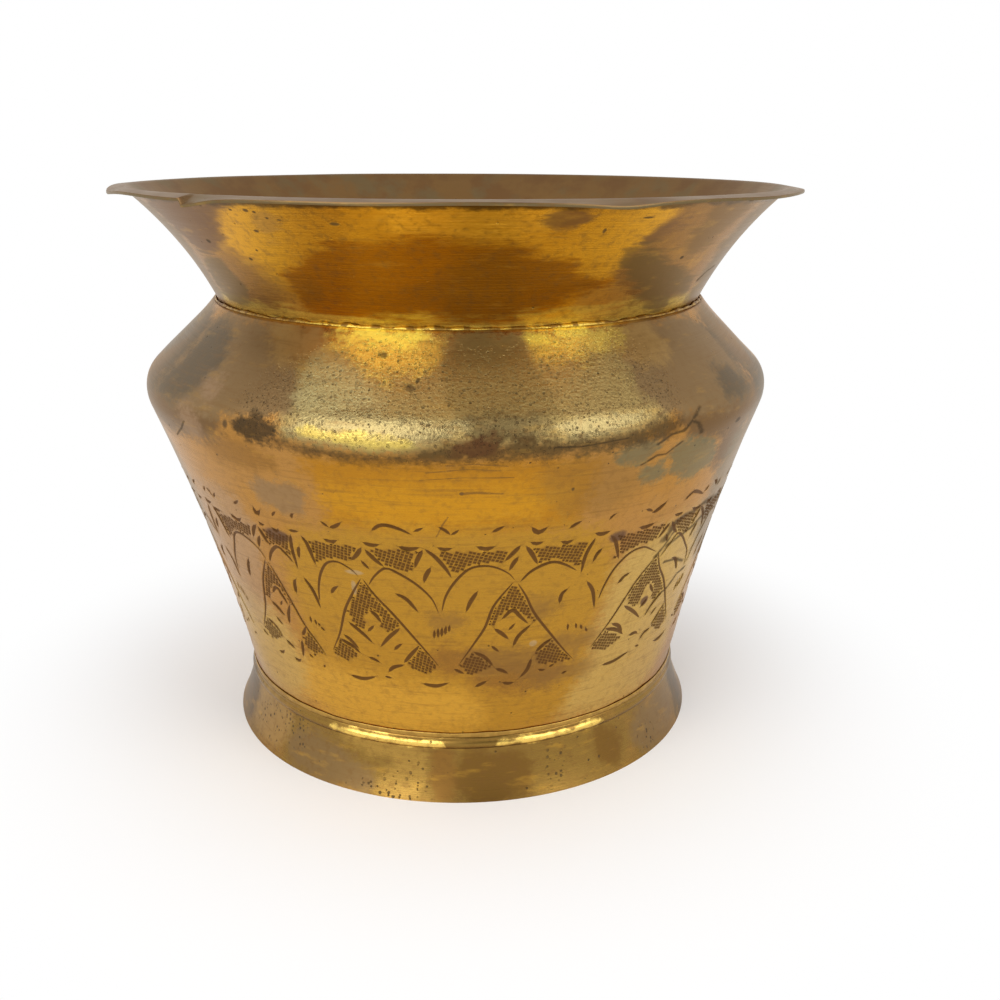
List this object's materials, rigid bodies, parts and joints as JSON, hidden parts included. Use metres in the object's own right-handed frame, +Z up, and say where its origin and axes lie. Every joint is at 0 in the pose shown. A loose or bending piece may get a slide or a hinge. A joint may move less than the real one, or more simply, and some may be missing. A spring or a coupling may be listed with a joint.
{
  "type": "cachepot",
  "caption": "Brass cachepot with a flared collar, angular shoulder, tapered chased wall and a flared foot, for standing a potted plant in.",
  "frame": {"origin": "on the pot's axis, in the plane that the foot stands on", "axes": "+Z up along the pot's axis; +Y points away from the picture's camera"},
  "size_m": [0.24, 0.24, 0.1972],
  "materials": {
    "collar_brass": "aged polished sheet, brown patina and scratches",
    "body_brass": "aged polished sheet, grey-olive tarnish, chased band",
    "base_brass": "dull, dark oxide",
    "foot_brass": "aged polished sheet, olive-brown tarnish",
    "solder": "rough, cast, uneven"
  },
  "bodies": {
    "root": {"flared_collar": "collar_brass", "body": "body_brass", "base_disc": "base_brass", "foot_ring": "foot_brass", "neck_solder_outer": "solder", "neck_solder_inner": "solder", "floor_solder": "solder", "foot_solder_outer": "solder", "foot_solder_inner": "solder"}
  },
  "joints": []
}
